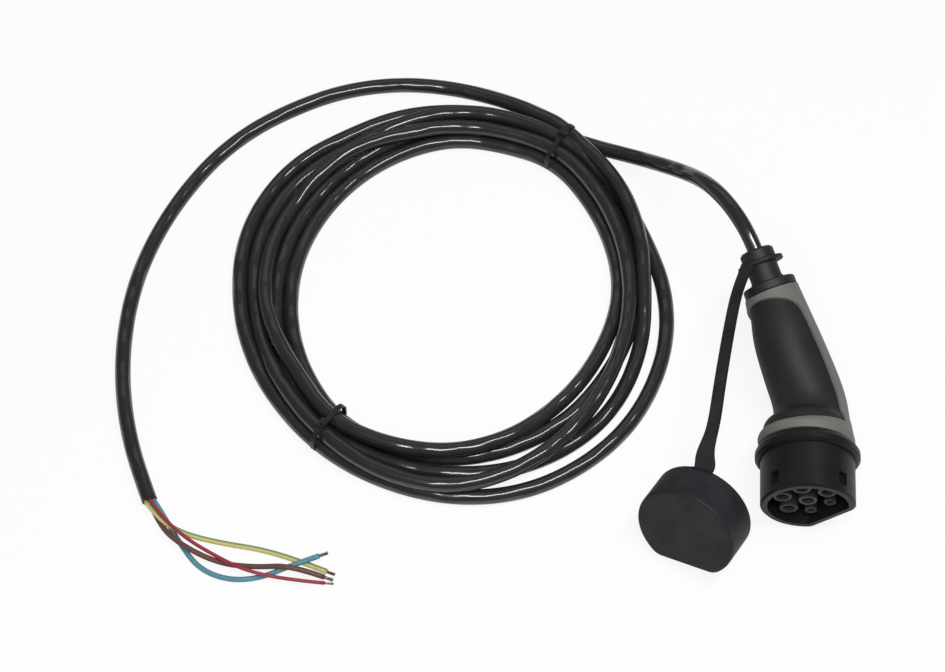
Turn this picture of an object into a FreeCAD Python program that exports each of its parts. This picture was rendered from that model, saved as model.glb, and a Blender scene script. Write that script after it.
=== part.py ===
import FreeCAD, Part
import math
import os

V = FreeCAD.Vector

# Nose, measured forward from the flange's front face
SHROUD_R = 29.05
SHROUD_WALL = 4.3
SHROUD_FLAT = SHROUD_R - 6.3
SHROUD_CORNER = 6.5
RECESS_CORNER = 3.5
SHROUD_LEN = 31.0
RIM_CHAMFER = 1.2
RECESS_FLOOR = 1.0
FLANGE_R = SHROUD_R + 3.3
FLANGE_BACK = 7.6
FLANGE_TAPER = 3.4
FLANGE_ROOT_R = FLANGE_R - 2.1
FLANGE_EDGE = 0.9
SPIGOT_R = 24.6
SPIGOT_LEN = 9.9
CARRIER_BORE_R = 22.5
WINDOW_WIDTH = 6.5
WINDOW_LEN = 8.5
WINDOW_START = 17.5
WINDOW_DEPTH = 3.0
WINDOW_ANGLES = (0.0, 90.0, 180.0)

# Connector pose on the table, where its flange rests (row frame: x right, y away, z up)
NOSE_HOME = V(36.8, -34.7, FLANGE_R)
NOSE_HEADING = -93.6
NOSE_ROLL = 50.2

# Contacts: ring radius and the two sizes of tower and sleeve
CONTACT_RING_R = 16.0
PILOT_PITCH = 16.0
PILOT_DROP = 11.2
TOWER_TOP = 27.0
TOWER_LIP = 2.6
TOWER_EDGE = 0.5
MOUTH_STEP = 0.3
POWER_TOWER_R = 5.8
POWER_STEM_R = 5.0
POWER_SLEEVE_R = 4.0
POWER_BORE_R = 3.03
PILOT_TOWER_R = 3.8
PILOT_STEM_R = 3.3
PILOT_SLEEVE_R = 2.5
PILOT_BORE_R = 1.53
SLEEVE_FIT = 0.05
CARRIER_BACK = 15.0
CARRIER_FIT = 0.2
SLEEVE_TAIL = 7.0
SLEEVE_TAIL_STEP = 0.6
COLLAR_LEN = 2.0
COLLAR_RIM = 0.8
COLLAR_GAP = 0.02
SLEEVE_GAP = 0.1
CUP_DEPTH = 6.0
BORE_DEPTH = 20.0

# Handle: distance back from the flange face along a bent axis
BEND_START = 35.2
BEND_R = 71.8
BEND_ANGLE = 30.8
HANDLE_FRONT = FLANGE_BACK + 0.6
HANDLE_REAR = 115.6
HANDLE_WALL = 2.8
GRIP_RECESS = 1.2
GRIP_REAR_RECESS = 1.8
GASKET_INSET = 1.0
FRONT_BORE_END = 18.0
REAR_BORE_START = 100.0
# Each section: distance back, reach on the hollow side, reach on the spine side
HANDLE_SECTIONS = (
    (HANDLE_FRONT, 31.1, 30.2),
    (12.5, 31.3, 29.5),
    (16.0, 30.3, 29.0),
    (20.0, 29.3, 28.3),
    (23.0, 28.5, 27.9),
    (25.2, 26.5, 27.8),
    (27.4, 23.7, 27.8),
    (30.0, 22.2, 27.6),
    (34.0, 21.8, 27.0),
    (39.0, 22.5, 26.0),
    (44.0, 23.7, 24.6),
    (52.0, 25.8, 22.0),
    (64.0, 27.5, 19.1),
    (78.0, 27.2, 17.9),
    (92.0, 24.9, 17.5),
    (106.0, 20.6, 17.6),
    (HANDLE_REAR, 18.3, 17.6),
)
SIDE_RATIO = 0.97
# Edge of the grip opening: distance back, height above the bent axis
GRIP_EDGE = (
    (111.9, 19.2),
    (110.4, 16.5),
    (108.1, 12.5),
    (105.6, 8.7),
    (103.0, 5.6),
    (99.4, 3.5),
    (94.0, 2.9),
    (84.0, 3.2),
    (72.0, 3.4),
    (60.0, 2.6),
    (48.0, 0.3),
    (36.0, -3.7),
    (28.0, -5.0),
    (19.8, -5.2),
)
GRIP_FRONT = 12.8
REACH = 45.0

# Cable gland, in line with the rear of the handle
GLAND_FLANGE_R = 17.0
GLAND_FLANGE_T = 6.0
GLAND_FLANGE_EDGE = 0.8
GLAND_STEP_R = 10.7
GLAND_STEP_LEN = 2.2
NECK_R = 10.1
COLLAR_R = 10.9
COLLAR_EDGE = 0.6
COLLAR_NOSE = 1.4
COLLAR_START = 136.8
GLAND_END = 144.2
GLAND_SPIGOT_R = 10.5
GLAND_SPIGOT_START = 103.0
SEAL_R = 7.4
SEAL_START = 104.0
SEAL_LEN = 9.5
CABLE_D = 10.0
CABLE_FIT = 0.15
CLAMP_START = 91.0
CLAMP_LEN = 8.0
CLAMP_HALF_WIDTH = 12.5
CLAMP_HEIGHT = 5.5
CLAMP_BRIDGE_GAP = 0.4
CLAMP_SADDLE_DEPTH = 20.0
CLAMP_SCREW_X = 9.0
SCREW_R = 1.5
SCREW_HEAD_R = 2.7
SCREW_HEAD_T = 1.8
SCREW_SHANK = 11.2
SADDLE_FIT = 0.1
CABLE_STRIP = 90.0
JACKET_SPOT_R = 2.4
JACKET_SPOTS = {"inner_core_l1": -5.0, "inner_core_pe": 90.0, "inner_core_n": 185.0, "inner_core_cp": 270.0}
LEAD_START = 132.0
REAR_FIT = 0.05
GLAND_SEAT_GAP = 0.1

# Inner cores between the contacts' cups and the jacket
POWER_CORE_D = 3.4
PILOT_CORE_D = 2.3
CORE_CUP_GAP = 0.2
CORE_STRAIGHT = 14.0
CORE_GATHER_BACK = 52.0
CORE_GATHER = V(0, 0.55, 0.5)
CORE_RISE = 1.0
CORE_BUNDLE_BACK = 72.0

# Dust cap with its strap and ring, moulded in one
RING_FIT = 0.06
RING_R = 14.75
RING_LEN = 2.2
RING_START = 134.2
CAP_FIT = 0.15
CAP_WALL = 2.85
CAP_R = SHROUD_R + CAP_FIT + CAP_WALL
CAP_FLAT = SHROUD_FLAT + CAP_FIT + CAP_WALL
CAP_CORNER = SHROUD_CORNER + CAP_FIT + CAP_WALL
CAP_DEPTH = SHROUD_LEN - 5.4
CAP_FACE_T = 2.6
CAP_EDGE = 2.2
STRAP_T = 2.4
STRAP_END_WIDTH = 13.0
STRAP_OVERLAP = 1.55
# Cap pose: centre of its face, its outward direction and the way to its flat
CAP_FACE = V(-41.6, -85.4, 35.4)
CAP_OUT = V(-0.507, -0.81, 0.294)
CAP_DOWN = V(0.061, -0.374, -0.925)
# Strap from the ring to the cap: place and width at each point
STRAP_ROUTE = (
    (V(3.5, 86.1, 66.3), 11.0), (V(1.2, 81.3, 64.4), 8.6), (V(-3.4, 69.7, 60.1), 8.0),
    (V(-7.2, 55.2, 57.5), 7.8), (V(-11.9, 33.0, 54.8), 7.6), (V(-18.3, -0.1, 53.5), 7.4),
    (V(-23.5, -25.0, 54.2), 7.6), (V(-26.3, -34.0, 55.0), 8.8), (V(-28.2, -41.0, 56.0), 11.0),
    (V(-29.3, -48.5, 56.7), 12.4),
    (CAP_FACE - CAP_OUT * (CAP_DEPTH - STRAP_OVERLAP) - CAP_DOWN * CAP_R, STRAP_END_WIDTH),
)
STRAP_STEPS = 16

# Main cable: routes of its two uncoiled stretches
LEAD_ROUTE = (
    V(13.8, 88.9, 57.9), V(9.0, 101.5, 62.7), V(3.2, 114.4, 66.5), V(-3.8, 127.4, 67.6),
    V(-10.9, 140.1, 65.2), V(-18.7, 153.4, 59.1), V(-28.4, 168.6, 46.5), V(-41.4, 185.1, 31.0),
    V(-58.4, 201.1, 17.0), V(-79.4, 213.6, 8.5), V(-103.4, 221.1, 6.2),
)
TAIL_ROUTE = (
    V(-108.4, 229.6, 13.5), V(-120.4, 239.6, 9.5), V(-136.4, 250.6, 6.5), V(-163.4, 262.1, 5.0),
    V(-195.4, 269.1, 5.0), V(-226.4, 270.1, 5.0), V(-259.4, 264.1, 5.0), V(-289.4, 251.1, 5.0),
    V(-318.4, 233.1, 5.0), V(-342.4, 210.1, 5.0), V(-362.4, 181.1, 5.0), V(-378.4, 149.1, 5.0),
    V(-389.4, 115.1, 5.0), V(-394.4, 80.1, 5.0), V(-394.4, 44.1, 5.0), V(-389.4, 9.1, 5.0),
    V(-380.4, -22.9, 5.0), V(-370.4, -47.9, 5.0),
)

# Coil: its middle, height, and inner and outer radius at each angle
COIL_MIDDLE = V(-182.8, 103.1, 0.0)
COIL_HEIGHT = 19.9
COIL_EDGES = (
    (0, 104.0, 142.0), (30, 108.0, 141.0), (56, 117.0, 148.0), (80, 115.0, 150.0),
    (100, 112.0, 150.0), (120, 106.0, 147.5), (150, 100.0, 149.5), (180, 99.5, 143.5),
    (210, 105.0, 141.3), (232, 113.8, 143.3), (250, 112.4, 147.5), (270, 109.8, 152.3),
    (290, 105.4, 155.2), (310, 101.7, 154.0), (330, 99.6, 150.2), (345, 100.8, 146.3),
)

# Cable ties round the coil: angle, inner and outer radius of the loop
TIE_PLACES = (("tie_upper", 57.0, 116.6, 148.6), ("tie_lower", 233.0, 113.2, 144.3))
TIE_WIDTH = 3.2
TIE_T = 1.0
TIE_CORNER = 8.0
TIE_HEAD = V(4.4, 5.0, 3.6)
TIE_HEAD_SHARE = 0.55
TIE_STUB = 1.6
TIE_STUB_RISE = 1.9

# Cores at the open end: name, diameter, metal end and route
CORE_ROUTES = (
    ("blue", POWER_CORE_D, 2.0, (
        V(-368.2, -47.1, 4.6), V(-358.4, -61.9, 1.9), V(-348.4, -78.9, 1.9), V(-336.4, -93.9, 1.9),
        V(-318.4, -100.9, 1.9), V(-299.4, -97.9, 2.2), V(-281.4, -92.4, 4.6), V(-263.4, -86.4, 6.4))),
    ("earth", POWER_CORE_D, 2.0, (
        V(-372.6, -48.8, 5.4), V(-363.4, -61.9, 7.2), V(-348.4, -70.9, 5.0), V(-324.4, -75.9, 1.9),
        V(-300.4, -79.9, 1.9), V(-278.4, -86.9, 1.9), V(-258.9, -94.9, 1.9))),
    ("brown", POWER_CORE_D, 2.0, (
        V(-370.4, -48.0, 2.1), V(-363.4, -64.9, 3.4), V(-347.4, -78.9, 7.1), V(-324.4, -88.9, 3.2),
        V(-301.4, -91.9, 4.8), V(-280.4, -93.9, 8.8), V(-259.9, -99.9, 4.4))),
    ("pilot", PILOT_CORE_D, 1.4, (
        V(-370.3, -47.9, 7.4), V(-362.4, -57.4, 9.4), V(-346.4, -69.4, 8.4), V(-328.4, -79.9, 6.3),
        V(-308.4, -91.9, 8.7), V(-284.4, -98.9, 5.6), V(-259.9, -102.7, 2.0))),
)
TIP_LEN = 5.5

os.makedirs("parts", exist_ok=True)


def save(shape, name):
    """Checks one piece and writes it to its own file."""
    if not shape.isValid() or len(shape.Solids) != 1:
        raise ValueError("%s is not one good solid" % name)
    shape.Solids[0].exportStep("parts/%s.step" % name)
    print("%s volume %.0f" % (name, shape.Volume))


def axis_point(back):
    """Centre line of the handle: place, way back and way up at one distance back."""
    bend = math.radians(BEND_ANGLE)
    if back <= BEND_START:
        return V(-back, 0, 0), V(-1, 0, 0), V(0, 0, 1)
    turn = min((back - BEND_START) / BEND_R, bend)
    way = V(-math.cos(turn), 0, math.sin(turn))
    up = V(math.sin(turn), 0, math.cos(turn))
    place = V(-BEND_START - BEND_R * math.sin(turn), 0, BEND_R * (1 - math.cos(turn)))
    rest = back - BEND_START - BEND_R * turn
    return place + way * rest, way, up


def beside_axis(back, side, height):
    """A point beside the handle's centre line."""
    place, way, up = axis_point(back)
    return place + V(0, side, 0) + up * height


def revolved(profile):
    """Solid of revolution about the nose axis from (x, radius) points."""
    points = [V(x, 0, r) for x, r in profile]
    face = Part.Face(Part.makePolygon(points + points[:1]))
    return face.revolve(V(0, 0, 0), V(1, 0, 0), 360)


def rod(radius, start, end, side=0.0, height=0.0):
    """Cylinder along the nose axis."""
    return Part.makeCylinder(radius, end - start, V(start, side, height), V(1, 0, 0))


def rear_rod(radius, start, end):
    """Cylinder along the handle's straight rear part."""
    place, way, up = axis_point(start)
    return Part.makeCylinder(radius, end - start, place, way)


def to_rear(shape, back):
    """Moves a shape modelled along +X to the rear axis, its origin at one distance back."""
    place, way, up = axis_point(back)
    side = up.cross(way)
    matrix = FreeCAD.Matrix(
        way.x, side.x, up.x, place.x,
        way.y, side.y, up.y, place.y,
        way.z, side.z, up.z, place.z,
        0, 0, 0, 1)
    return moved(shape, matrix)


def moved(shape, matrix):
    """A copy of a shape at a rigid placement."""
    copy = shape.copy()
    copy.Placement = FreeCAD.Placement(matrix).multiply(copy.Placement)
    return copy


def d_solid(radius, flat, corner, start, end):
    """Round bar along X with one flat at the bottom and rounded corners beside it."""
    across = math.sqrt((radius - corner) ** 2 - (flat - corner) ** 2)
    ratio = radius / (radius - corner)
    turn = math.atan2(-(flat - corner), across)
    half = (turn - math.pi / 2) / 2
    rim = V(start, across * ratio, -(flat - corner) * ratio)
    foot = V(start, across, -flat)
    middle = V(start, across + corner * math.cos(half), -(flat - corner) + corner * math.sin(half))

    def mirror(point):
        return V(point.x, -point.y, point.z)

    edges = [
        Part.Arc(rim, V(start, 0, radius), mirror(rim)).toShape(),
        Part.Arc(mirror(rim), mirror(middle), mirror(foot)).toShape(),
        Part.LineSegment(mirror(foot), foot).toShape(),
        Part.Arc(foot, middle, rim).toShape(),
    ]
    return Part.Face(Part.Wire(edges)).extrude(V(end - start, 0, 0))


def make_nose():
    """Shroud with its flange, recess, lock pockets and the spigot that enters the handle."""
    flange = revolved((
        (-FLANGE_BACK, 0), (-FLANGE_BACK, FLANGE_ROOT_R), (FLANGE_TAPER - FLANGE_BACK, FLANGE_R),
        (-FLANGE_EDGE, FLANGE_R), (0, FLANGE_R - FLANGE_EDGE), (RECESS_FLOOR, FLANGE_ROOT_R), (RECESS_FLOOR, 0)))
    shroud = d_solid(SHROUD_R, SHROUD_FLAT, SHROUD_CORNER, 0, SHROUD_LEN)
    rim = [e for e in shroud.Edges if e.BoundBox.XMin > SHROUD_LEN - 0.01]
    shroud = shroud.makeChamfer(RIM_CHAMFER, rim)
    inner_r = SHROUD_R - SHROUD_WALL
    recess = d_solid(inner_r, SHROUD_FLAT - SHROUD_WALL, RECESS_CORNER, RECESS_FLOOR, SHROUD_LEN + 1)
    spigot = rod(SPIGOT_R, -FLANGE_BACK - SPIGOT_LEN, -FLANGE_BACK + 1)
    nose = flange.fuse([shroud, spigot])
    nose = nose.cut(recess)
    nose = nose.cut(rod(CARRIER_BORE_R, -FLANGE_BACK - SPIGOT_LEN - 1, RECESS_FLOOR + 0.01))
    for angle in WINDOW_ANGLES:
        corner = V(WINDOW_START, -WINDOW_WIDTH / 2, SHROUD_R - WINDOW_DEPTH)
        window = Part.makeBox(WINDOW_LEN, WINDOW_WIDTH, 2 * WINDOW_DEPTH, corner)
        window.rotate(V(0, 0, 0), V(1, 0, 0), angle - 90)
        nose = nose.cut(window)
    return nose.removeSplitter()


def contact_places():
    """Names, places and kinds of the seven contacts, seen from the front."""
    high = CONTACT_RING_R * math.sqrt(3) / 2
    half = CONTACT_RING_R / 2
    return (
        ("contact_pe", 0.0, 0.0, "power"),
        ("contact_l1", CONTACT_RING_R, 0.0, "power"),
        ("contact_n", -CONTACT_RING_R, 0.0, "power"),
        ("contact_l2", half, high, "power"),
        ("contact_l3", -half, high, "power"),
        ("contact_cp", PILOT_PITCH / 2, -PILOT_DROP, "pilot"),
        ("contact_pp", -PILOT_PITCH / 2, -PILOT_DROP, "pilot"),
    )


def make_carrier():
    """Insulating block behind the recess, with one hole for each contact's tube."""
    body = rod(CARRIER_BORE_R - CARRIER_FIT, -CARRIER_BACK, RECESS_FLOOR)
    for name, side, height, kind in contact_places():
        stem = POWER_STEM_R if kind == "power" else PILOT_STEM_R
        body = body.cut(rod(stem + SLEEVE_FIT, -CARRIER_BACK - 1, RECESS_FLOOR + 1, side, height))
    return body


def make_tower(side, height, kind):
    """Insulating tube of one contact: a stem in the carrier and a thicker tower in the nose."""
    outer = POWER_TOWER_R if kind == "power" else PILOT_TOWER_R
    stem = POWER_STEM_R if kind == "power" else PILOT_STEM_R
    sleeve = POWER_SLEEVE_R if kind == "power" else PILOT_SLEEVE_R
    bore = sleeve + SLEEVE_FIT
    mouth = sleeve - MOUTH_STEP
    seat = RECESS_FLOOR + COLLAR_GAP
    lip = TOWER_TOP - TOWER_LIP
    tower = revolved((
        (-CARRIER_BACK, bore), (-CARRIER_BACK, stem), (seat, stem), (seat, outer),
        (TOWER_TOP - TOWER_EDGE, outer), (TOWER_TOP, outer - TOWER_EDGE),
        (TOWER_TOP, mouth + TOWER_EDGE), (TOWER_TOP - TOWER_EDGE, mouth), (lip, mouth), (lip, bore)))
    tower.translate(V(0, side, height))
    return tower


def make_contact(side, height, kind):
    """Turned sleeve: bored front, a collar behind the carrier and a cup for the wire."""
    outer = POWER_SLEEVE_R if kind == "power" else PILOT_SLEEVE_R
    bore = POWER_BORE_R if kind == "power" else PILOT_BORE_R
    cup = core_diameter(kind) / 2 + SLEEVE_FIT
    front = TOWER_TOP - TOWER_LIP - SLEEVE_GAP
    back = -CARRIER_BACK - SLEEVE_TAIL - COLLAR_LEN
    collar = -CARRIER_BACK - COLLAR_GAP
    sleeve = rod(outer, collar, front)
    sleeve = sleeve.fuse(rod(outer + COLLAR_RIM, collar - COLLAR_LEN, collar))
    sleeve = sleeve.fuse(rod(outer - SLEEVE_TAIL_STEP, back, collar))
    sleeve = sleeve.cut(rod(bore, front - BORE_DEPTH, front + 1))
    sleeve = sleeve.cut(rod(cup, back - 1, back + CUP_DEPTH))
    sleeve.translate(V(0, side, height))
    return sleeve


def core_diameter(kind):
    """Outer diameter of a core's insulation."""
    return POWER_CORE_D if kind == "power" else PILOT_CORE_D


def reach(back):
    """Reach of the handle's section on its hollow side and on its spine side."""
    rows = HANDLE_SECTIONS
    for near, far in zip(rows, rows[1:]):
        if back <= far[0]:
            share = (back - near[0]) / (far[0] - near[0])
            return near[1] + share * (far[1] - near[1]), near[2] + share * (far[2] - near[2])
    return rows[-1][1], rows[-1][2]


def handle_section(back, inset):
    """Closed oval across the handle's axis, drawn in by an inset."""
    top, bottom = reach(back)
    half = (top + bottom) / 2
    middle = (top - bottom) / 2
    wide = half * SIDE_RATIO - inset
    high = half - inset
    points = []
    for step in range(20):
        turn = 2 * math.pi * step / 20
        points.append(beside_axis(back, wide * math.cos(turn), middle + high * math.sin(turn)))
    curve = Part.BSplineCurve()
    curve.interpolate(points, PeriodicFlag=True)
    return Part.Wire(curve.toShape())


def handle_loft(inset, start, end, rear_inset=None):
    """Smooth solid through the handle's sections, drawn in by an inset that may change to the rear."""
    grow = 0.0 if rear_inset is None else (rear_inset - inset) / (end - start)
    stops = [start] + [row[0] for row in HANDLE_SECTIONS if start + 2 < row[0] < end - 2] + [end]
    return Part.makeLoft([handle_section(stop, inset + grow * (stop - start)) for stop in stops], True, False)


def handle_hollow(fit):
    """Inside of the handle's wall, drawn in by a fit."""
    return handle_loft(HANDLE_WALL + fit, FRONT_BORE_END - 1, REAR_BORE_START)


def handle_cavity():
    """Hollow of the handle with the bores at its two ends."""
    hollow = handle_hollow(0.0)
    front = rod(SPIGOT_R + CARRIER_FIT, -FRONT_BORE_END, 0)
    rear = rear_rod(GLAND_SPIGOT_R + REAR_FIT, REAR_BORE_START - 1, HANDLE_REAR + 1)
    return hollow.fuse([front, rear])


def grip_mask():
    """Slab through the handle with the side outline of the grip opening."""
    edge = [beside_axis(back, 0, height) for back, height in GRIP_EDGE]
    start = beside_axis(GRIP_EDGE[0][0], 0, REACH)
    end = beside_axis(GRIP_FRONT, 0, REACH)
    curve = Part.BSplineCurve()
    curve.interpolate(edge)
    edges = [
        Part.LineSegment(start, edge[0]).toShape(),
        curve.toShape(),
        Part.LineSegment(edge[-1], end).toShape(),
        Part.LineSegment(end, start).toShape(),
    ]
    slab = Part.Face(Part.Wire(edges)).extrude(V(0, 2 * REACH, 0))
    slab.translate(V(0, -REACH, 0))
    return slab


def make_handle():
    """Grey frame and the black grip moulded into its opening."""
    cavity = handle_cavity()
    mask = grip_mask()
    frame = handle_loft(0.0, HANDLE_FRONT, HANDLE_REAR).cut(cavity).cut(mask)
    grip = handle_loft(GRIP_RECESS, GRIP_FRONT - 2, HANDLE_REAR - 2, GRIP_REAR_RECESS).common(mask).cut(cavity)
    return frame, grip


def make_gasket():
    """Flat ring between the flange and the handle's front edge."""
    front_reach = min(HANDLE_SECTIONS[0][1:])
    ring = rod(front_reach - GASKET_INSET, -HANDLE_FRONT, -FLANGE_BACK)
    return ring.cut(rod(SPIGOT_R + CARRIER_FIT, -HANDLE_FRONT - 1, -FLANGE_BACK + 1))


def along_rear(profile):
    """Solid of revolution about the rear axis from (distance back, radius) points."""
    solid = revolved([(back - HANDLE_REAR, r) for back, r in profile])
    return to_rear(solid, HANDLE_REAR)


def make_gland():
    """Cable gland: spigot in the handle, flange, neck and end collar, bored for the cable."""
    flange_start = HANDLE_REAR + GLAND_SEAT_GAP
    flange_end = flange_start + GLAND_FLANGE_T
    edge = GLAND_FLANGE_EDGE
    gland = along_rear((
        (GLAND_SPIGOT_START, 0), (GLAND_SPIGOT_START, GLAND_SPIGOT_R), (flange_start, GLAND_SPIGOT_R),
        (flange_start, GLAND_FLANGE_R - edge), (flange_start + edge, GLAND_FLANGE_R),
        (flange_end - edge, GLAND_FLANGE_R), (flange_end, GLAND_FLANGE_R - edge),
        (flange_end, GLAND_STEP_R), (flange_end + GLAND_STEP_LEN, GLAND_STEP_R),
        (flange_end + GLAND_STEP_LEN, NECK_R), (COLLAR_START, NECK_R), (COLLAR_START + COLLAR_EDGE, COLLAR_R),
        (GLAND_END - COLLAR_NOSE, COLLAR_R), (GLAND_END, COLLAR_R - COLLAR_NOSE), (GLAND_END, 0)))
    gland = gland.cut(rear_rod(CABLE_D / 2 + CABLE_FIT, GLAND_SPIGOT_START - 1, GLAND_END + 1))
    return gland.cut(rear_rod(SEAL_R + REAR_FIT, GLAND_SPIGOT_START - 1, SEAL_START + SEAL_LEN))


def make_seal():
    """Rubber sleeve squeezed between the gland and the cable."""
    seal = rear_rod(SEAL_R, SEAL_START, SEAL_START + SEAL_LEN - GLAND_SEAT_GAP)
    return seal.cut(rear_rod(CABLE_D / 2, SEAL_START - 1, SEAL_START + SEAL_LEN + 1))


def make_clamp():
    """Saddle and bridge that grip the jacket, with their two screws."""
    length = CLAMP_LEN
    wide = CLAMP_HALF_WIDTH
    half_gap = CLAMP_BRIDGE_GAP
    depth = CLAMP_SADDLE_DEPTH
    saddle = Part.makeBox(length, 2 * wide, depth, V(0, -wide, -half_gap - depth))
    bridge = Part.makeBox(length, 2 * wide, CLAMP_HEIGHT + 2 * half_gap, V(0, -wide, half_gap))
    outer = Part.makeCylinder(wide, length, V(0, 0, 0), V(1, 0, 0))
    bridge = bridge.common(outer)
    jacket = Part.makeCylinder(CABLE_D / 2, length + 2, V(-1, 0, 0), V(1, 0, 0))
    saddle = saddle.cut(jacket)
    bridge = bridge.cut(jacket)
    screws = []
    bed_height = CLAMP_HEIGHT + half_gap / 2
    for side in (-CLAMP_SCREW_X, CLAMP_SCREW_X):
        foot = V(length / 2, side, bed_height - SCREW_SHANK)
        shank = Part.makeCylinder(SCREW_R, SCREW_SHANK + SCREW_HEAD_T / 2, foot, V(0, 0, 1))
        head = Part.makeCylinder(SCREW_HEAD_R, SCREW_HEAD_T, V(length / 2, side, bed_height), V(0, 0, 1))
        bed = Part.makeCylinder(SCREW_HEAD_R + CABLE_FIT, wide, V(length / 2, side, bed_height), V(0, 0, 1))
        bridge = bridge.cut(bed)
        screw = shank.fuse(head)
        saddle = saddle.cut(shank)
        bridge = bridge.cut(shank)
        screws.append(to_rear(screw.removeSplitter(), CLAMP_START))
    saddle = to_rear(saddle, CLAMP_START).common(handle_hollow(SADDLE_FIT))
    return saddle, to_rear(bridge, CLAMP_START), screws


def make_cap():
    """Ring, strap and cup of the dust cap in one, already in its place."""
    across = CAP_OUT.cross(CAP_DOWN)
    high = CAP_DOWN * -1
    matrix = FreeCAD.Matrix(
        CAP_OUT.x, across.x, high.x, CAP_FACE.x,
        CAP_OUT.y, across.y, high.y, CAP_FACE.y,
        CAP_OUT.z, across.z, high.z, CAP_FACE.z,
        0, 0, 0, 1)
    cup = d_solid(CAP_R, CAP_FLAT, CAP_CORNER, -CAP_DEPTH, 0)
    edges = [e for e in cup.Edges if e.BoundBox.XMin > -0.01]
    cup = cup.makeFillet(CAP_EDGE, edges)
    inner = d_solid(SHROUD_R + CAP_FIT, SHROUD_FLAT + CAP_FIT, SHROUD_CORNER, -CAP_DEPTH - 1, -CAP_FACE_T)
    cup = moved(cup.cut(inner), matrix)
    ring_way, ring_up = neck_frame(RING_START)
    ring = posed(rear_rod(RING_R, RING_START, RING_START + RING_LEN))
    bore = posed(rear_rod(NECK_R + RING_FIT, RING_START - 1, RING_START + RING_LEN + 1))
    strap = make_strap(ring_up.cross(ring_way) * -1, across)
    cap = ring.fuse([strap, cup]).cut(bore)
    return cap.removeSplitter()


def make_strap(side, across):
    """Flat strap that turns smoothly from the ring's width direction to the cap's."""
    curve = Part.BSplineCurve()
    curve.interpolate([place for place, width in STRAP_ROUTE])
    knots = [curve.parameter(place) for place, width in STRAP_ROUTE]
    sections = []
    for step in range(STRAP_STEPS + 1):
        share = step / STRAP_STEPS
        at = knots[0] + share * (knots[-1] - knots[0])
        number = max(k for k in range(len(knots) - 1) if knots[k] <= at + 1e-9)
        part = (at - knots[number]) / (knots[number + 1] - knots[number])
        width = STRAP_ROUTE[number][1] * (1 - part) + STRAP_ROUTE[number + 1][1] * part
        place = curve.value(at)
        way = V(*curve.tangent(at)[0])
        wide = side * (1 - share) + across * share
        wide = wide - way * wide.dot(way)
        wide.normalize()
        thick = way.cross(wide) * (STRAP_T / 2)
        wide = wide * (width / 2)
        corners = [place + wide + thick, place - wide + thick, place - wide - thick, place + wide - thick]
        sections.append(Part.makePolygon(corners + corners[:1]))
    return Part.makeLoft(sections, True, False)


def posed(shape):
    """Moves a connector piece from its own axes to its place on the table."""
    turn = FreeCAD.Rotation(V(0, 0, 1), NOSE_HEADING).multiply(FreeCAD.Rotation(V(1, 0, 0), NOSE_ROLL))
    copy = shape.copy()
    copy.Placement = FreeCAD.Placement(NOSE_HOME, turn).multiply(copy.Placement)
    return copy


def neck_frame(back):
    """Way back and way up of the neck, in the row frame."""
    turn = FreeCAD.Rotation(V(0, 0, 1), NOSE_HEADING).multiply(FreeCAD.Rotation(V(1, 0, 0), NOSE_ROLL))
    place, way, up = axis_point(back)
    return turn.multVec(way), turn.multVec(up)


def tube(points, diameter, name):
    """Round bar along straight runs that are joined by tangent arcs."""
    edges = []
    radii = []
    start = points[0]
    for before, corner, after in zip(points, points[1:], points[2:]):
        inward = before - corner
        outward = after - corner
        shorter = min(inward.Length, outward.Length)
        inward.normalize()
        outward.normalize()
        turn = math.pi - inward.getAngle(outward)
        reach_back = 0.45 * shorter
        radius = reach_back / math.tan(turn / 2)
        radii.append(radius)
        near = corner + inward * reach_back
        far = corner + outward * reach_back
        half = inward + outward
        half.normalize()
        middle = corner + half * (radius / math.cos(turn / 2) - radius)
        edges.append(Part.LineSegment(start, near).toShape())
        edges.append(Part.Arc(near, middle, far).toShape())
        start = far
    edges.append(Part.LineSegment(start, points[-1]).toShape())
    path = Part.Wire(edges)
    way = points[1] - points[0]
    profile = Part.Wire(Part.makeCircle(diameter / 2, points[0], way))
    solid = path.makePipeShell([profile], True, False)
    share = solid.Volume / (math.pi * diameter ** 2 / 4 * path.Length)
    print("%s length %.0f volume share %.4f least radius %.0f" % (name, path.Length, share, min(radii)))
    return solid


def ring_curve(radii):
    """Closed smooth curve through one radius at each angle of the coil."""
    points = []
    for angle, radius in radii:
        turn = math.radians(angle)
        points.append(COIL_MIDDLE + V(radius * math.cos(turn), radius * math.sin(turn), 0))
    curve = Part.BSplineCurve()
    curve.interpolate(points, PeriodicFlag=True)
    return Part.Wire(curve.toShape())


def make_coil(ties):
    """Outer shape of the tied coil, with its seats for the ties."""
    outer = Part.Face(ring_curve([(angle, far) for angle, near, far in COIL_EDGES]))
    inner = Part.Face(ring_curve([(angle, near) for angle, near, far in COIL_EDGES]))
    ring = outer.cut(inner).extrude(V(0, 0, COIL_HEIGHT))
    for tie in ties:
        ring = ring.cut(tie)
    return ring


def make_tie(angle, near, far):
    """Closed band round the bundle with its head and the cut end of the strap."""
    high = COIL_HEIGHT + TIE_T
    band = rounded_bar(near - TIE_T, far + TIE_T, 0, high + TIE_T, TIE_CORNER)
    hole = rounded_bar(near, far, TIE_T, high, TIE_CORNER - TIE_T)
    band = band.cut(hole)
    middle = near + TIE_HEAD_SHARE * (far - near)
    head = Part.makeBox(TIE_HEAD.x, TIE_HEAD.y, TIE_HEAD.z, V(middle, -TIE_HEAD.y / 2, high + TIE_T / 2))
    stub_foot = V(middle, -TIE_WIDTH / 2, high + TIE_STUB_RISE)
    stub = Part.makeBox(TIE_STUB + TIE_HEAD.x, TIE_WIDTH, TIE_T, stub_foot)
    tie = band.fuse([head, stub])
    tie.rotate(V(0, 0, 0), V(0, 0, 1), angle)
    tie.translate(COIL_MIDDLE)
    return tie


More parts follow.
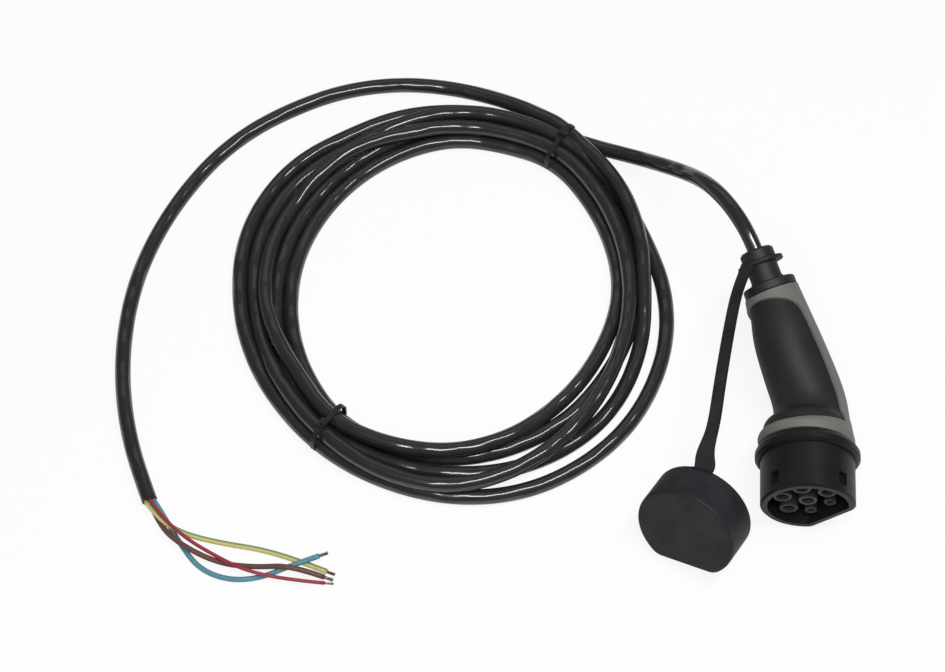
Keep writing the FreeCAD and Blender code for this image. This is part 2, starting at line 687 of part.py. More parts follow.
def rounded_bar(near, far, low, high, corner):
    """Bar of the tie's width with a rounded rectangle outline across the bundle."""
    bar = Part.makeBox(far - near, TIE_WIDTH, high - low, V(near, -TIE_WIDTH / 2, low))
    edges = [e for e in bar.Edges if abs(e.BoundBox.YLength - TIE_WIDTH) < 0.001]
    return bar.makeFillet(corner, edges)


def make_core(name, diameter, metal, route):
    """One core from the jacket to its bare end."""
    core = tube(route, diameter, "core_" + name)
    way = route[-1] - route[-2]
    tip = Part.makeCylinder(metal / 2, TIP_LEN, route[-1], way)
    return core, tip


def inner_core(name, side, height, kind):
    """Core from the jacket's end inside the handle to the cup of its contact."""
    cup_end = -CARRIER_BACK - SLEEVE_TAIL - COLLAR_LEN + CUP_DEPTH - CORE_CUP_GAP
    turn = math.radians(JACKET_SPOTS[name])
    spot_side = JACKET_SPOT_R * math.cos(turn)
    spot_height = JACKET_SPOT_R * math.sin(turn)
    route = [
        V(cup_end, side, height),
        V(cup_end - CORE_STRAIGHT, side, height),
        beside_axis(CORE_GATHER_BACK, side * CORE_GATHER.y, height * CORE_GATHER.z + CORE_RISE),
        beside_axis(CORE_BUNDLE_BACK, spot_side, spot_height),
        beside_axis(CABLE_STRIP - CORE_CUP_GAP / 2, spot_side, spot_height),
    ]
    return tube(route, core_diameter(kind), name)


def build():
    nose = make_nose()
    frame, grip = make_handle()
    save(posed(nose), "nose_shroud")
    save(posed(make_carrier()), "contact_carrier")
    for name, side, height, kind in contact_places():
        save(posed(make_contact(side, height, kind)), name)
        save(posed(make_tower(side, height, kind)), name.replace("contact", "contact_tube"))
    save(posed(make_gasket()), "nose_gasket")
    save(posed(frame), "handle_frame")
    save(posed(grip), "handle_grip")
    save(posed(make_gland()), "cable_gland")
    save(posed(make_seal()), "gland_seal")
    saddle, bridge, screws = make_clamp()
    save(posed(saddle), "clamp_saddle")
    save(posed(bridge), "clamp_bridge")
    for number, screw in enumerate(screws):
        save(posed(screw), "clamp_screw_%d" % (number + 1))
    save(posed(rear_rod(CABLE_D / 2, CABLE_STRIP, LEAD_START)), "cable_inner")
    for name, side, height, kind in contact_places():
        core = name.replace("contact", "inner_core")
        if core in JACKET_SPOTS:
            save(posed(inner_core(core, side, height, kind)), core)
    save(make_cap(), "dust_cap")
    ties = []
    for name, angle, near, far in TIE_PLACES:
        tie = make_tie(angle, near, far)
        ties.append(tie)
        save(tie, name)
    save(make_coil(ties), "cable_coil")
    save(tube(LEAD_ROUTE, CABLE_D, "lead"), "cable_lead")
    save(tube(TAIL_ROUTE, CABLE_D, "tail"), "cable_tail")
    for name, diameter, metal, route in CORE_ROUTES:
        core, tip = make_core(name, diameter, metal, route)
        save(core, "core_" + name)
        save(tip, "core_end_" + name)


build()
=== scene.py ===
import math

import bpy
import numpy as np
from bpy.props import FloatProperty, FloatVectorProperty, PointerProperty, StringProperty
from mathutils import Matrix, Vector


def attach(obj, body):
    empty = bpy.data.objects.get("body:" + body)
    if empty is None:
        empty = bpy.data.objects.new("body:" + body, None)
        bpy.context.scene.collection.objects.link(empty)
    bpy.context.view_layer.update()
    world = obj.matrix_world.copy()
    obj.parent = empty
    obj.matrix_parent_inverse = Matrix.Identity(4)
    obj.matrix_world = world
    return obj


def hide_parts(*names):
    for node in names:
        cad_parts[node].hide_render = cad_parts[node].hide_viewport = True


bl_info = {
    "name": "Charging cable with tied coil",
    "version": (1, 0, 0),
    "blender": (4, 5, 0),
    "location": "View3D > Sidebar > Cable",
    "description": "Looks of a charging cable: connector, dust cap, coil, ties and open cores",
    "category": "Object",
}

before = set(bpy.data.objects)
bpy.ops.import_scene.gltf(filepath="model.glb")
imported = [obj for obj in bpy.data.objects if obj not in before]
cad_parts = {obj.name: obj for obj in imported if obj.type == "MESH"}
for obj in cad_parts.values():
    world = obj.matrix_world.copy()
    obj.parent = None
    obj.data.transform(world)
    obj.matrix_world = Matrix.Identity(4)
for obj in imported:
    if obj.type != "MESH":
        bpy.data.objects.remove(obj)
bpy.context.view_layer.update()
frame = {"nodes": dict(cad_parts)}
MM = 0.001

# Cable from the gland to the coil, in mm
LEAD_ROUTE = (
    (13.8, 88.9, 57.9), (9.0, 101.5, 62.7), (3.2, 114.4, 66.5), (-3.8, 127.4, 67.6),
    (-10.9, 140.1, 65.2), (-18.7, 153.4, 59.1), (-28.4, 168.6, 46.5), (-41.4, 185.1, 31.0),
    (-58.4, 201.1, 17.0), (-79.4, 213.6, 8.5),
)
# Cable from the coil to the cut end of its jacket, in mm
TAIL_ROUTE = (
    (-108.4, 229.6, 13.5), (-120.4, 239.6, 9.5), (-136.4, 250.6, 6.5), (-163.4, 262.1, 5.0),
    (-195.4, 269.1, 5.0), (-226.4, 270.1, 5.0), (-259.4, 264.1, 5.0), (-289.4, 251.1, 5.0),
    (-318.4, 233.1, 5.0), (-342.4, 210.1, 5.0), (-362.4, 181.1, 5.0), (-378.4, 149.1, 5.0),
    (-389.4, 115.1, 5.0), (-394.4, 80.1, 5.0), (-394.4, 44.1, 5.0), (-389.4, 9.1, 5.0),
    (-380.4, -22.9, 5.0), (-370.4, -47.9, 5.0),
)
COIL_MIDDLE = (-182.8, 103.1)
# Coil: at each angle in degrees, the radius of its five turns and their heights above the table, in mm
COIL_TURNS = (
    (56, (142.9, 137.2, 127.2, 122.0, 132.4), (6.1, 14.8, 14.8, 6.1, 6.1)),
    (75, (143.5, 138.0, 125.6, 120.1, 131.0), (5.0, 13.6, 13.6, 5.0, 5.0)),
    (90, (144.0, 138.0, 125.9, 120.2, 131.5), (5.0, 13.4, 13.4, 5.0, 5.0)),
    (105, (144.2, 135.0, 123.5, 115.5, 126.3), (5.0, 10.0, 14.2, 5.0, 5.0)),
    (120, (142.0, 132.0, 126.8, 111.0, 121.7), (5.0, 5.0, 13.5, 5.0, 5.0)),
    (135, (145.3, 134.2, 125.6, 107.3, 117.5), (5.0, 5.0, 10.9, 5.0, 5.0)),
    (150, (144.8, 134.7, 124.7, 105.0, 114.9), (5.0, 5.0, 5.0, 5.0, 5.0)),
    (165, (142.4, 132.7, 123.4, 104.5, 114.1), (5.0, 5.0, 9.0, 5.0, 5.0)),
    (180, (138.4, 128.8, 121.6, 104.8, 114.3), (5.0, 5.0, 12.0, 5.0, 5.0)),
    (195, (137.0, 127.2, 119.5, 106.8, 116.5), (5.0, 5.2, 14.4, 5.0, 5.0)),
    (212, (136.2, 129.0, 116.4, 110.8, 121.4), (5.0, 11.9, 13.4, 5.0, 5.0)),
    (232, (139.2, 134.0, 123.6, 118.4, 128.8), (6.1, 14.7, 14.7, 6.1, 6.1)),
    (251, (142.9, 141.4, 122.0, 120.0, 130.4), (5.0, 13.8, 14.2, 5.0, 5.0)),
    (270, (148.4, 146.0, 120.7, 121.9, 132.2), (5.0, 14.0, 13.7, 5.0, 5.0)),
    (288, (151.8, 139.3, 115.8, 120.4, 134.9), (5.0, 14.3, 12.6, 5.0, 5.0)),
    (306, (150.6, 129.4, 107.6, 119.0, 135.2), (5.0, 12.8, 5.2, 5.0, 5.0)),
    (323, (148.2, 121.6, 105.4, 116.8, 132.9), (5.0, 13.2, 5.0, 5.0, 5.0)),
    (342, (143.8, 116.6, 105.8, 117.8, 128.0), (5.0, 13.8, 5.0, 5.0, 6.0)),
    (360, (138.6, 115.2, 109.0, 119.6, 124.0), (5.0, 13.7, 5.0, 5.0, 13.0)),
    (378, (132.8, 116.6, 110.8, 123.0, 129.0), (5.0, 13.7, 5.0, 5.0, 13.9)),
    (397, (135.0, 120.8, 114.8, 125.0, 136.6), (5.4, 13.7, 5.0, 5.0, 14.6)),
)

# Cores from the jacket to their bare ends, in mm
CORE_ROUTES = {
    "blue": (
        (-368.2, -47.1, 4.6), (-358.4, -61.9, 1.9), (-348.4, -78.9, 1.9), (-336.4, -93.9, 1.9),
        (-318.4, -100.9, 1.9), (-299.4, -99.4, 2.0), (-281.4, -92.4, 4.6), (-263.4, -86.4, 6.4)),
    "earth": (
        (-372.6, -48.8, 5.4), (-363.4, -61.9, 7.2), (-348.4, -70.9, 5.0), (-324.4, -75.9, 1.9),
        (-300.4, -79.9, 1.9), (-278.4, -86.9, 1.9), (-258.9, -94.9, 1.9)),
    "brown": (
        (-370.4, -48.0, 2.1), (-363.4, -64.9, 3.4), (-347.4, -80.4, 7.1), (-324.4, -90.4, 3.2),
        (-301.4, -93.4, 4.8), (-280.4, -93.9, 8.8), (-259.9, -99.9, 4.4)),
    "pilot": (
        (-370.3, -47.9, 7.4), (-362.4, -60.4, 9.6), (-346.4, -75.4, 9.0), (-328.4, -85.9, 6.5),
        (-308.4, -97.3, 8.7), (-284.4, -101.6, 5.2), (-259.9, -102.7, 2.0)),
}

# Bare wires at the cores' ends, in metres: their length and the length of one turn of their twist
WIRE_LENGTH = 0.0055
WIRE_LAY = 0.016
# Share by which they spread at their tips, points along a wire, and sides of a wire and of a core
WIRE_FRAY = 0.15
WIRE_POINTS = 12
WIRE_SIDES = 8
CORE_SIDES = 20

# Steps of a spline between two of its points, and of a quarter of its round bar
SPLINE_STEPS = 10
ROUND_STEPS = 5

# Moulded parts: width of the slow cloud in metres, where its colour starts and stops changing, what it adds
# to the roughness, and the height of the grain as a share of its width
CLOUD_WIDTH = 0.018
CLOUD_EDGES = (0.3, 0.7)
CLOUD_GLOSS = 0.05
GRAIN_HEIGHT = 0.2
# Jacket: width and height of its lumps in metres, and its roughness in their valleys and on their tops
LUMP_WIDTH = 0.014
LUMP_HEIGHT = 0.0017
JACKET_ROUGH = (0.28, 0.4)
# Metals: width of the scratches in metres, and the share by which they change the roughness
SCRATCH_WIDTH = 0.0008
SCRATCH_GLOSS = 0.3
# Shares of the turn between which the earth core's stripe lies
STRIPE = (0.22, 0.48)

# White table: its side and its drop below the part in metres, and how much of it glows towards the lens
TABLE_SIDE = 6.0
TABLE_DROP = 0.0002
TABLE_GLOW = 0.88
# Light of the room itself, and the point that the lamps face, in metres
ROOM_LIGHT = 0.12
LAMP_AIM = (-0.17, 0.07, 0.0)
# Lamps: name, place, direction of the long side, length and height in metres, and power in watts
LAMPS = (
    ("long_box", (0.12, -0.24, 1.5), (0.74, 0.67, 0.0), 1.3, 0.17, 17.5),
    ("front_box", (-0.17, -0.85, 1.25), (1.0, 0.0, 0.0), 1.3, 0.9, 6.0),
    ("back_box", (-0.3, 1.3, 1.2), (1.0, 0.0, 0.0), 1.6, 0.9, 1.8),
)


def hex_colour(name, default):
    """A colour that the user can change, held as an sRGB hex value."""
    return StringProperty(name=name, description="sRGB hex value", default=default)


class CableSettings(bpy.types.PropertyGroup):
    """Sizes and colours of the cable and its cores."""
    diameter: FloatProperty(
        name="Cable diameter", description="Outside diameter of the jacket",
        default=0.010, min=0.009, max=0.0105, unit="LENGTH")
    power_core: FloatProperty(
        name="Power core diameter", description="Outside diameter of the three thick cores",
        default=0.0034, min=0.003, max=0.0036, unit="LENGTH")
    pilot_core: FloatProperty(
        name="Pilot core diameter", description="Outside diameter of the thin core",
        default=0.0023, min=0.002, max=0.0025, unit="LENGTH")
    wire_share: FloatProperty(
        name="Wire share", description="Diameter of a core's wires as a part of the core's own",
        default=0.6, min=0.4, max=0.8)
    jacket: hex_colour("Jacket colour", "#272729")
    blue: hex_colour("Neutral core colour", "#5A8FA0")
    brown: hex_colour("Line core colour", "#684942")
    yellow: hex_colour("Earth core colour", "#D3C878")
    green: hex_colour("Earth core stripe", "#809C68")
    red: hex_colour("Pilot core colour", "#9C3644")
    tin: hex_colour("Bare wire colour", "#8F8C86")
    tie: hex_colour("Cable tie colour", "#242426")


class ConnectorSettings(bpy.types.PropertyGroup):
    """Colours of the connector and its cap."""
    nose: hex_colour("Nose colour", "#1B1B1D")
    carrier: hex_colour("Contact carrier colour", "#3A3A3E")
    frame: hex_colour("Frame colour", "#6F716B")
    grip: hex_colour("Grip colour", "#28282A")
    cap: hex_colour("Cap colour", "#27282B")
    gland: hex_colour("Gland colour", "#27272A")
    seal: hex_colour("Seal colour", "#141414")
    silver: hex_colour("Contact colour", "#D9D6CF")
    zinc: hex_colour("Screw colour", "#B9B9B4")


class StageSettings(bpy.types.PropertyGroup):
    """Camera and lamps."""
    lens: FloatProperty(
        name="Lens", description="Focal length on a 36 mm sensor", default=91.4, min=20.0, max=300.0)
    distance: FloatProperty(
        name="Camera distance", description="From the lens to the middle of the view",
        default=1.5584, min=0.5, max=5.0, unit="LENGTH")
    elevation: FloatProperty(
        name="Camera elevation", description="Angle of the view above the table",
        default=math.radians(60.0), min=0.1, max=1.5, unit="ROTATION")
    middle: FloatVectorProperty(
        name="View middle", description="Point of the table in the middle of the view",
        default=(-0.1694, 0.0731, 0.0), size=3, subtype="XYZ")
    table: hex_colour("Table colour", "#F4F4F4")


def linear(value):
    """Turns an sRGB hex value into linear red, green, blue and alpha."""
    parts = [int(value[k:k + 2], 16) / 255 for k in (1, 3, 5)]
    return tuple(c / 12.92 if c <= 0.04045 else ((c + 0.055) / 1.055) ** 2.4 for c in parts) + (1.0,)


def node(tree, kind, settings=None, **inputs):
    """Adds one node, sets its fields, and sets or links its inputs. An input goes by its name with _ for a
    space, or by _ and its number."""
    new = tree.nodes.new(kind)
    for name, value in (settings or {}).items():
        setattr(new, name, value)
    for name, value in inputs.items():
        key = name.strip("_").replace("_", " ")
        socket = new.inputs[int(key) if key.isdigit() else key]
        if isinstance(value, bpy.types.NodeSocket):
            tree.links.new(value, socket)
        else:
            socket.default_value = value
    return new


def new_material(name, **inputs):
    """Starts a material from one Principled shader with its constants on the sockets."""
    material = bpy.data.materials.new(name)
    material.use_nodes = True
    tree = material.node_tree
    tree.nodes.clear()
    shader = node(tree, "ShaderNodeBsdfPrincipled", **inputs)
    node(tree, "ShaderNodeOutputMaterial", Surface=shader.outputs[0])
    return material, tree, shader


def stops(ramp, rows):
    """Sets a colour ramp's places and colours."""
    elements = ramp.color_ramp.elements
    while len(elements) > len(rows):
        elements.remove(elements[-1])
    while len(elements) < len(rows):
        elements.new(1.0)
    for element, (place, colour) in zip(elements, rows):
        element.position = place
        element.color = colour


def moulded(name, colour, rough, grain_mm, depth, spread=0.12, shine=0.3):
    """Moulded plastic or rubber: the grain of its tool spreads the highlight, and a slow cloud makes the
    colour and the gloss slightly uneven."""
    base = linear(colour)
    material, tree, shader = new_material(name, IOR=1.5, Specular_IOR_Level=shine)
    place = node(tree, "ShaderNodeTexCoord").outputs["Object"]
    cloud = node(tree, "ShaderNodeTexNoise", Vector=place, Scale=1 / CLOUD_WIDTH, Detail=3.0)
    darker = tuple(c * (1 - spread) for c in base[:3]) + (1.0,)
    lighter = tuple(c * (1 + spread) for c in base[:3]) + (1.0,)
    ramp = node(tree, "ShaderNodeValToRGB", Fac=cloud.outputs["Fac"])
    stops(ramp, ((CLOUD_EDGES[0], darker), (CLOUD_EDGES[1], lighter)))
    tree.links.new(ramp.outputs["Color"], shader.inputs["Base Color"])
    patch = node(tree, "ShaderNodeMapRange", Value=cloud.outputs["Fac"])
    patch.inputs["To Min"].default_value = rough - CLOUD_GLOSS
    patch.inputs["To Max"].default_value = rough + CLOUD_GLOSS
    tree.links.new(patch.outputs["Result"], shader.inputs["Roughness"])
    grain = node(tree, "ShaderNodeTexNoise", Vector=place, Scale=1 / (grain_mm * MM), Detail=4.0)
    bump = node(
        tree, "ShaderNodeBump", Height=grain.outputs["Fac"], Strength=depth,
        Distance=grain_mm * MM * GRAIN_HEIGHT)
    tree.links.new(bump.outputs["Normal"], shader.inputs["Normal"])
    return material


def jacket_material(settings):
    """Extruded elastomer: a glossy skin gives thin bright streaks, and the slow lumps of the cores beneath
    make them wave."""
    material, tree, shader = new_material(
        "Extruded elastomer jacket, glossy black", IOR=1.5, Specular_IOR_Level=0.2,
        Coat_Weight=0.6, Coat_Roughness=0.12, Coat_IOR=1.75)
    shader.inputs["Base Color"].default_value = linear(settings.jacket)
    place = node(tree, "ShaderNodeTexCoord").outputs["Object"]
    lumps = node(tree, "ShaderNodeTexNoise", Vector=place, Scale=1 / LUMP_WIDTH, Detail=0.0)
    gloss = node(tree, "ShaderNodeMapRange", Value=lumps.outputs["Fac"])
    gloss.inputs["To Min"].default_value = JACKET_ROUGH[0]
    gloss.inputs["To Max"].default_value = JACKET_ROUGH[1]
    tree.links.new(gloss.outputs["Result"], shader.inputs["Roughness"])
    wave = node(tree, "ShaderNodeBump", Height=lumps.outputs["Fac"], Strength=1.0, Distance=LUMP_HEIGHT)
    tree.links.new(wave.outputs["Normal"], shader.inputs["Normal"])
    tree.links.new(wave.outputs["Normal"], shader.inputs["Coat Normal"])
    return material


def core_material(name, colour):
    """Extruded insulation of one colour: smooth, with a soft highlight along it."""
    return moulded(name, colour, 0.38, 0.9, 0.15, spread=0.06)


def striped_core_material(settings):
    """Earth core insulation: yellow with one broad green stripe on its side, from the tube's own UV map."""
    material, tree, shader = new_material(
        "Extruded insulation, yellow and green", IOR=1.5, Roughness=0.38)
    uv = node(tree, "ShaderNodeUVMap", {"uv_map": "Wrap"})
    parts = node(tree, "ShaderNodeSeparateXYZ", Vector=uv.outputs["UV"])
    ramp = node(tree, "ShaderNodeValToRGB", Fac=parts.outputs["Y"])
    ramp.color_ramp.interpolation = "CONSTANT"
    yellow = linear(settings.yellow)
    green = linear(settings.green)
    stops(ramp, ((0.0, yellow), (STRIPE[0], green), (STRIPE[1], yellow)))
    tree.links.new(ramp.outputs["Color"], shader.inputs["Base Color"])
    return material


def metal_material(name, colour, rough):
    """Bright turned, drawn or plated metal: fine scratches make its gloss uneven."""
    material, tree, shader = new_material(name, Metallic=1.0)
    shader.inputs["Base Color"].default_value = linear(colour)
    place = node(tree, "ShaderNodeTexCoord").outputs["Object"]
    marks = node(tree, "ShaderNodeTexNoise", Vector=place, Scale=1 / SCRATCH_WIDTH, Detail=2.0)
    worn = node(tree, "ShaderNodeMapRange", Value=marks.outputs["Fac"])
    worn.inputs["To Min"].default_value = rough * (1 - SCRATCH_GLOSS)
    worn.inputs["To Max"].default_value = rough * (1 + SCRATCH_GLOSS)
    tree.links.new(worn.outputs["Result"], shader.inputs["Roughness"])
    return material


def dress(name, material):
    """Gives a node of the solid model its material."""
    thing = frame["nodes"][name]
    thing.data.materials.clear()
    thing.data.materials.append(material)


def spline_object(name, points, diameter):
    """One open NURBS spline of third order through the route's control points, as a round bar."""
    curve = bpy.data.curves.new(name, "CURVE")
    curve.dimensions = "3D"
    spline = curve.splines.new("NURBS")
    spline.points.add(len(points) - 1)
    flat = np.ones((len(points), 4))
    flat[:, :3] = points
    spline.points.foreach_set("co", flat.ravel())
    spline.order_u = 3
    spline.use_endpoint_u = True
    spline.resolution_u = SPLINE_STEPS
    curve.bevel_depth = diameter / 2
    curve.bevel_resolution = ROUND_STEPS
    curve.use_fill_caps = True
    thing = bpy.data.objects.new(name, curve)
    bpy.context.scene.collection.objects.link(thing)
    return thing


def spline_line(points):
    """Points of the NURBS spline itself, read from a curve that has no bevel."""
    bare = spline_object("route_reader", points, 0.0)
    mesh = bpy.data.meshes.new_from_object(bare)
    line = np.empty(len(mesh.vertices) * 3)
    mesh.vertices.foreach_get("co", line)
    data = bare.data
    bpy.data.objects.remove(bare)
    bpy.data.curves.remove(data)
    bpy.data.meshes.remove(mesh)
    return line.reshape(-1, 3)


def line_length(line):
    """Sum of the distances between a line's points."""
    return float(np.linalg.norm(np.diff(line, axis=0), axis=1).sum())


def ring_faces(rows, columns):
    """Outward quads between the rows of a tube's grid, each row joined round to its first point."""
    row, column = np.meshgrid(np.arange(rows - 1), np.arange(columns), indexing="ij")
    after = (column + 1) % columns
    quads = np.stack(((row + 1) * columns + column, (row + 1) * columns + after,
                      row * columns + after, row * columns + column), -1)
    return quads.reshape(-1, 4)


def make_mesh(name, points, faces, wrap=None):
    """A mesh from arrays of points and faces, smooth, with an optional map of two values a face corner."""
    mesh = bpy.data.meshes.new(name)
    mesh.from_pydata(np.asarray(points).tolist(), [], [list(f) for f in faces])
    if wrap is not None:
        mesh.uv_layers.new(name="Wrap").data.foreach_set("uv", np.asarray(wrap).ravel())
    mesh.polygons.foreach_set("use_smooth", np.ones(len(mesh.polygons), dtype=bool))
    mesh.update()
    thing = bpy.data.objects.new(name, mesh)
    bpy.context.scene.collection.objects.link(thing)
    return thing


def tube_mesh(name, lines, radius, sides):
    """Closed round tubes in one mesh: a ring is the line's point plus radius times cos and sin of the
    angle along two side vectors; the map gives the share of the length and of the turn."""
    turn = np.arange(sides) * 2 * math.pi / sides
    points, faces, wrap = [], [], []
    for line in lines:
        way = np.gradient(line, axis=0)
        way /= np.linalg.norm(way, axis=1, keepdims=True)
        side = np.cross(way, (0.0, 0.0, 1.0))
        side /= np.linalg.norm(side, axis=1, keepdims=True)
        up = np.cross(side, way)
        ring = side[:, None] * np.cos(turn)[:, None] + up[:, None] * np.sin(turn)[:, None]
        first = sum(len(part) for part in points)
        last = first + (len(line) - 1) * sides
        points.append((line[:, None] + radius * ring).reshape(-1, 3))
        faces += (first + ring_faces(len(line), sides)).tolist()
        faces += [list(range(first, first + sides)), list(range(last + sides - 1, last - 1, -1))]
        row, column = np.divmod(np.arange((len(line) - 1) * sides), sides)
        corners = np.array([(row + 1, column), (row + 1, column + 1), (row, column + 1), (row, column)])
        wrap.append(corners.transpose(2, 0, 1).reshape(-1, 2) / (len(line) - 1, sides))
        wrap.append(np.zeros((2 * sides, 2)))
    return make_mesh(name, np.vstack(points), faces, np.vstack(wrap))


def wire_lines(start, way, length, radius):
    """Lines of seven twisted wires: one is straight, and six turn round it at two thirds of the bundle's
    radius, which grows with the square of the way along."""
    side = np.cross(way, (0.0, 0.0, 1.0))
    side /= np.linalg.norm(side)
    up = np.cross(side, way)
    along = np.linspace(0, 1, WIRE_POINTS)[:, None]
    middle = start + along * length * way
    lines = [middle]
    for k in range(6):
        angle = 2 * math.pi * (k / 6 + along * length / WIRE_LAY)
        spread = radius * 2 / 3 * (1 + WIRE_FRAY * along ** 2)
        lines.append(middle + spread * (np.cos(angle) * side + np.sin(angle) * up))
    return lines


def coil_points():
    """Control points of the five turns: each stands at its angle and radius, pushed out by an eighth of the
    squared step between angles, because the spline runs inside its points."""
    angle = np.radians([row[0] for row in COIL_TURNS])
    radius = np.array([row[1] for row in COIL_TURNS]).T
    height = np.array([row[2] for row in COIL_TURNS]).T
    step = np.gradient(angle)
    swell = 1 + step ** 2 / 8
    x = COIL_MIDDLE[0] + radius * swell * np.cos(angle)
    y = COIL_MIDDLE[1] + radius * swell * np.sin(angle)
    return np.stack((x, y, height), -1).reshape(-1, 3)


def cable_points():
    """The whole route from the gland through the coil to the end of the jacket, in metres."""
    return np.vstack((LEAD_ROUTE, coil_points(), TAIL_ROUTE)) * MM


class CABLE_OT_stage(bpy.types.Operator):
    """Camera at the photograph's angle, white table and soft lamps"""
    bl_idname = "cable.stage"
    bl_label = "Stage"

    def execute(self, context):
        settings = context.scene.cable_stage
        middle = np.array(settings.middle)
        back = np.array((0.0, -math.cos(settings.elevation), math.sin(settings.elevation)))
        camera = bpy.data.objects.new("Camera", bpy.data.cameras.new("Camera"))
        camera.data.lens = settings.lens
        camera.data.sensor_width = 36.0
        camera.location = middle + back * settings.distance
        camera.rotation_euler = (math.pi / 2 - settings.elevation, 0.0, 0.0)
        context.scene.collection.objects.link(camera)
        context.scene.camera = camera
        corners = np.array(((-1, -1, 0), (1, -1, 0), (1, 1, 0), (-1, 1, 0))) * TABLE_SIDE / 2
        table = make_mesh("table_top", corners - (0, 0, TABLE_DROP), [(0, 1, 2, 3)])
        table.data.materials.append(self.table_material(settings))
        lamps = {row[0]: self.lamp(*row) for row in LAMPS}
        # The front box lifts the shadows and makes no highlight of its own
        lamps["front_box"].visible_glossy = False
        world = bpy.data.worlds.new("Soft room")
        world.use_nodes = True
        tree = world.node_tree
        tree.nodes.clear()
        light = node(tree, "ShaderNodeBackground", Color=(1.0, 1.0, 1.0, 1.0), Strength=ROOM_LIGHT)
        node(tree, "ShaderNodeOutputWorld", Surface=light.outputs[0])
        context.scene.world = world
        context.scene.view_settings.view_transform = "Standard"
        return {"FINISHED"}

    def lamp(self, name, place, along, wide, high, power):
        """One soft box that faces the part, with its long side along a direction."""
        light = bpy.data.lights.new(name, "AREA")
        light.shape = "RECTANGLE"
        light.size = wide
        light.size_y = high
        light.energy = power
        lamp = bpy.data.objects.new(name, light)
        lamp.location = place
        back = (Vector(place) - Vector(LAMP_AIM)).normalized()
        side = Vector(along) - back * Vector(along).dot(back)
        side.normalize()
        lamp.rotation_euler = Matrix((side, back.cross(side), back)).transposed().to_euler()
        bpy.context.scene.collection.objects.link(lamp)
        return lamp

    def table_material(self, settings):
        """White paper sweep: bright to the lens, with only the faint shadow of the things on it."""
        material = bpy.data.materials.new("White paper table")
        material.use_nodes = True
        tree = material.node_tree
        tree.nodes.clear()
        paper = node(tree, "ShaderNodeBsdfDiffuse", Color=linear(settings.table))
        glow = node(tree, "ShaderNodeEmission", Color=(1.0, 1.0, 1.0, 1.0), Strength=1.0)
        rays = node(tree, "ShaderNodeLightPath")
        share = node(
            tree, "ShaderNodeMath", {"operation": "MULTIPLY"},
            _0=rays.outputs["Is Camera Ray"], _1=TABLE_GLOW)
        mix = node(tree, "ShaderNodeMixShader", Fac=share.outputs[0], _1=paper.outputs[0], _2=glow.outputs[0])
        node(tree, "ShaderNodeOutputMaterial", Surface=mix.outputs[0])
        return material


class CABLE_OT_cable(bpy.types.Operator):
    """Jacketed cable from the gland, through the five tied turns, to its cut end"""
    bl_idname = "cable.cable"
    bl_label = "Cable"

    def execute(self, context):
        settings = context.scene.cable_cable
        points = cable_points()
        cable = spline_object("cable", points, settings.diameter)
        cable.data.materials.append(jacket_material(settings))
        dress("cable_inner", cable.data.materials[0])
        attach(cable, "connector")
        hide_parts("cable_lead", "cable_coil", "cable_tail")
        length = line_length(spline_line(points))
        return {"FINISHED"}


class CABLE_OT_cores(bpy.types.Operator):
    """Four insulated cores with bare tinned ends"""
    bl_idname = "cable.cores"
    bl_label = "Cores"

    def execute(self, context):
        settings = context.scene.cable_cable
        coats = {
            "blue": core_material("Extruded insulation, pale blue", settings.blue),
            "brown": core_material("Extruded insulation, brown", settings.brown),
            "pilot": core_material("Extruded insulation, red", settings.red),
            "earth": striped_core_material(settings),
        }
        # The same cores inside the handle, where the earth core has no map for a stripe
        dress("inner_core_l1", coats["brown"])
        dress("inner_core_n", coats["blue"])
        dress("inner_core_cp", coats["pilot"])
        dress("inner_core_pe", core_material("Extruded insulation, green", settings.green))
        # Tin over drawn copper: dull and slightly dark next to the white table
        tin = metal_material("Tinned copper wires, drawn and twisted", settings.tin, 0.32)
        for name, route in CORE_ROUTES.items():
            diameter = settings.pilot_core if name == "pilot" else settings.power_core
            points = np.array(route) * MM
            line = spline_line(points)
            core = tube_mesh("core_skin_" + name, [line], diameter / 2, CORE_SIDES)
            core.data.materials.append(coats[name])
            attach(core, "connector")
            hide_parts("core_" + name)
            way = (points[-1] - points[-2]) / np.linalg.norm(points[-1] - points[-2])
            radius = diameter / 2 * settings.wire_share
            strands = wire_lines(points[-1], way, WIRE_LENGTH, radius)
            wires = tube_mesh("core_wires_" + name, strands, radius / 3, WIRE_SIDES)
            wires.data.materials.append(tin)
            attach(wires, "connector")
            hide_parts("core_end_" + name)
        return {"FINISHED"}


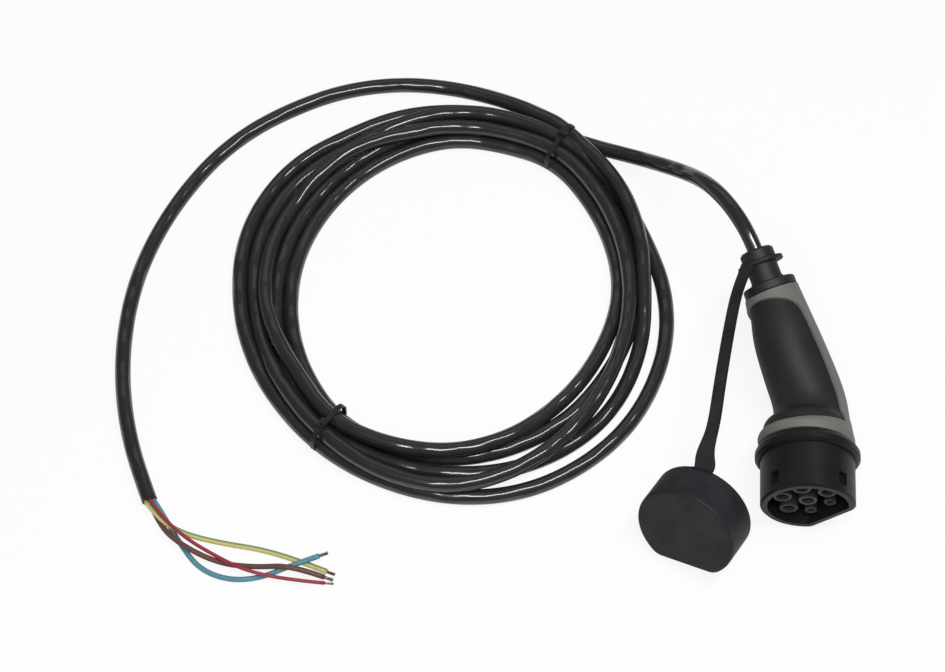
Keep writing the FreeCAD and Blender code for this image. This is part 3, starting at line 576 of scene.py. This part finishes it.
class CABLE_OT_connector(bpy.types.Operator):
    """Nose, contacts, handle, grip and gland"""
    bl_idname = "cable.connector"
    bl_label = "Connector"

    def execute(self, context):
        settings = context.scene.cable_connector
        # Polyamide from a satin tool: a soft sheen
        nose = moulded("Moulded polyamide, satin black", settings.nose, 0.42, 0.5, 0.25, shine=0.22)
        carrier = moulded("Moulded polyamide, dark grey", settings.carrier, 0.45, 0.5, 0.25)
        # Polyamide from a matt tool: an even colour with hardly a highlight
        shell = moulded("Moulded polyamide, matt grey", settings.frame, 0.55, 0.5, 0.25, spread=0.04)
        gland = moulded("Moulded polyamide, matt black", settings.gland, 0.5, 0.5, 0.3)
        # Elastomer and rubber: a coarser grain breaks up the broad highlight
        grip = moulded("Soft moulded elastomer, fine grain", settings.grip, 0.5, 0.7, 0.5, shine=0.22)
        seal = moulded("Moulded rubber, black", settings.seal, 0.6, 0.6, 0.3)
        # Plated metals: bright sleeves, and duller screws
        silver = metal_material("Silver plated brass, turned", settings.silver, 0.22)
        zinc = metal_material("Zinc plated steel", settings.zinc, 0.35)
        coats = {
            "nose_shroud": nose, "contact_carrier": carrier, "nose_gasket": seal, "handle_frame": shell,
            "handle_grip": grip, "cable_gland": gland, "gland_seal": seal, "clamp_saddle": carrier,
            "clamp_bridge": carrier, "clamp_screw_1": zinc, "clamp_screw_2": zinc,
        }
        for name, thing in frame["nodes"].items():
            if name in coats:
                dress(name, coats[name])
            elif name.startswith("contact_tube"):
                dress(name, carrier)
            elif name.startswith("contact_"):
                dress(name, silver)
        return {"FINISHED"}


class CABLE_OT_cap(bpy.types.Operator):
    """Dust cap with its strap and ring"""
    bl_idname = "cable.cap"
    bl_label = "Dust cap"

    def execute(self, context):
        settings = context.scene.cable_connector
        # Rubber from a matt tool: cloudy, almost without a highlight
        rubber = moulded(
            "Moulded rubber, matt grey black", settings.cap, 0.55, 0.6, 0.5, spread=0.3, shine=0.18)
        dress("dust_cap", rubber)
        return {"FINISHED"}


class CABLE_OT_ties(bpy.types.Operator):
    """Two cable ties round the coil"""
    bl_idname = "cable.ties"
    bl_label = "Cable ties"

    def execute(self, context):
        settings = context.scene.cable_cable
        # Nylon from a polished tool: smooth, with small highlights
        nylon = moulded("Moulded nylon, black", settings.tie, 0.4, 0.5, 0.2)
        dress("tie_upper", nylon)
        dress("tie_lower", nylon)
        return {"FINISHED"}


class CABLE_PT_panel(bpy.types.Panel):
    """Lists the pieces and their settings"""
    bl_label = "Charging cable"
    bl_idname = "CABLE_PT_panel"
    bl_space_type = "VIEW_3D"
    bl_region_type = "UI"
    bl_category = "Cable"

    def draw(self, context):
        layout = self.layout
        for name in STEPS:
            layout.operator("cable." + name)
        for group in (context.scene.cable_cable, context.scene.cable_connector, context.scene.cable_stage):
            for name in group.__annotations__:
                layout.prop(group, name)


STEPS = ("stage", "cable", "cores", "connector", "cap", "ties")
CLASSES = (
    CableSettings, ConnectorSettings, StageSettings, CABLE_OT_stage, CABLE_OT_cable, CABLE_OT_cores,
    CABLE_OT_connector, CABLE_OT_cap, CABLE_OT_ties, CABLE_PT_panel,
)


def register():
    for item in CLASSES:
        bpy.utils.register_class(item)
    bpy.types.Scene.cable_cable = PointerProperty(type=CableSettings)
    bpy.types.Scene.cable_connector = PointerProperty(type=ConnectorSettings)
    bpy.types.Scene.cable_stage = PointerProperty(type=StageSettings)


def unregister():
    del bpy.types.Scene.cable_cable
    del bpy.types.Scene.cable_connector
    del bpy.types.Scene.cable_stage
    for item in reversed(CLASSES):
        bpy.utils.unregister_class(item)


def main():
    """Registers the add-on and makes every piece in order."""
    register()
    for name in STEPS:
        getattr(bpy.ops.cable, name)()


if __name__ == "__main__":
    main()
